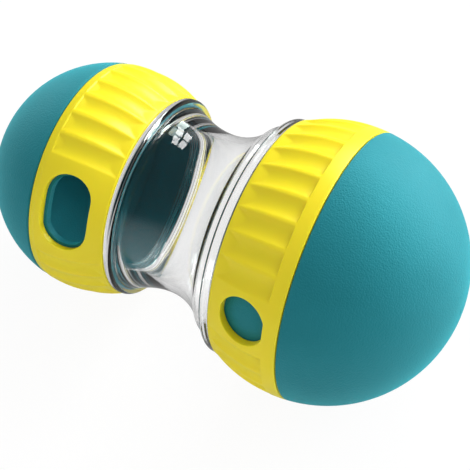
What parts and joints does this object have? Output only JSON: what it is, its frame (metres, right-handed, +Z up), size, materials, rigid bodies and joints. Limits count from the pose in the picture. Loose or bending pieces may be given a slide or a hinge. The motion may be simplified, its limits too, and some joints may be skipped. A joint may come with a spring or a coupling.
{
  "type": "rolling treat dispenser",
  "caption": "Pet treat dispenser: a clear hourglass tube between two teal balls, each with a fluted yellow collar that turns to open or close a window.",
  "frame": {"origin": "middle of the bounding box, on the ground", "axes": "+X towards the big ball and level, +Z up; the toy lies on both balls, so its own axis tilts up towards the big ball"},
  "size_m": [0.154, 0.0852, 0.0851],
  "materials": {
    "clear_plastic": "clear injection moulded, polished",
    "teal_plastic": "satin, fine pebble grain",
    "yellow_plastic": "satin moulded"
  },
  "bodies": {
    "tube": {"hourglass_tube": "clear_plastic"},
    "big_end": {"big_dome": "teal_plastic", "big_gate_sleeve": "teal_plastic"},
    "big_ring": {"big_collar": "yellow_plastic"},
    "small_end": {"small_dome": "teal_plastic", "small_gate_sleeve": "teal_plastic"},
    "small_ring": {"small_collar": "yellow_plastic"}
  },
  "joints": [
    {"name": "big_end_removal", "type": "slide", "parent": "tube", "child": "big_end", "axis": [0.9967, 0, 0.0811], "range_m": [0, 0.02]},
    {"name": "small_end_removal", "type": "slide", "parent": "tube", "child": "small_end", "axis": [-0.9967, 0, -0.0811], "range_m": [0, 0.02]},
    {"name": "big_collar_turn", "type": "hinge", "parent": "big_end", "child": "big_ring", "pos_m": [0.03441, 0, 0.04247], "axis": [0.9967, 0, 0.0811], "range_deg": [-45, 0]},
    {"name": "small_collar_turn", "type": "hinge", "parent": "small_end", "child": "small_ring", "pos_m": [-0.04061, 0, 0.03637], "axis": [0.9967, 0, 0.0811], "range_deg": [0, 55]}
  ]
}
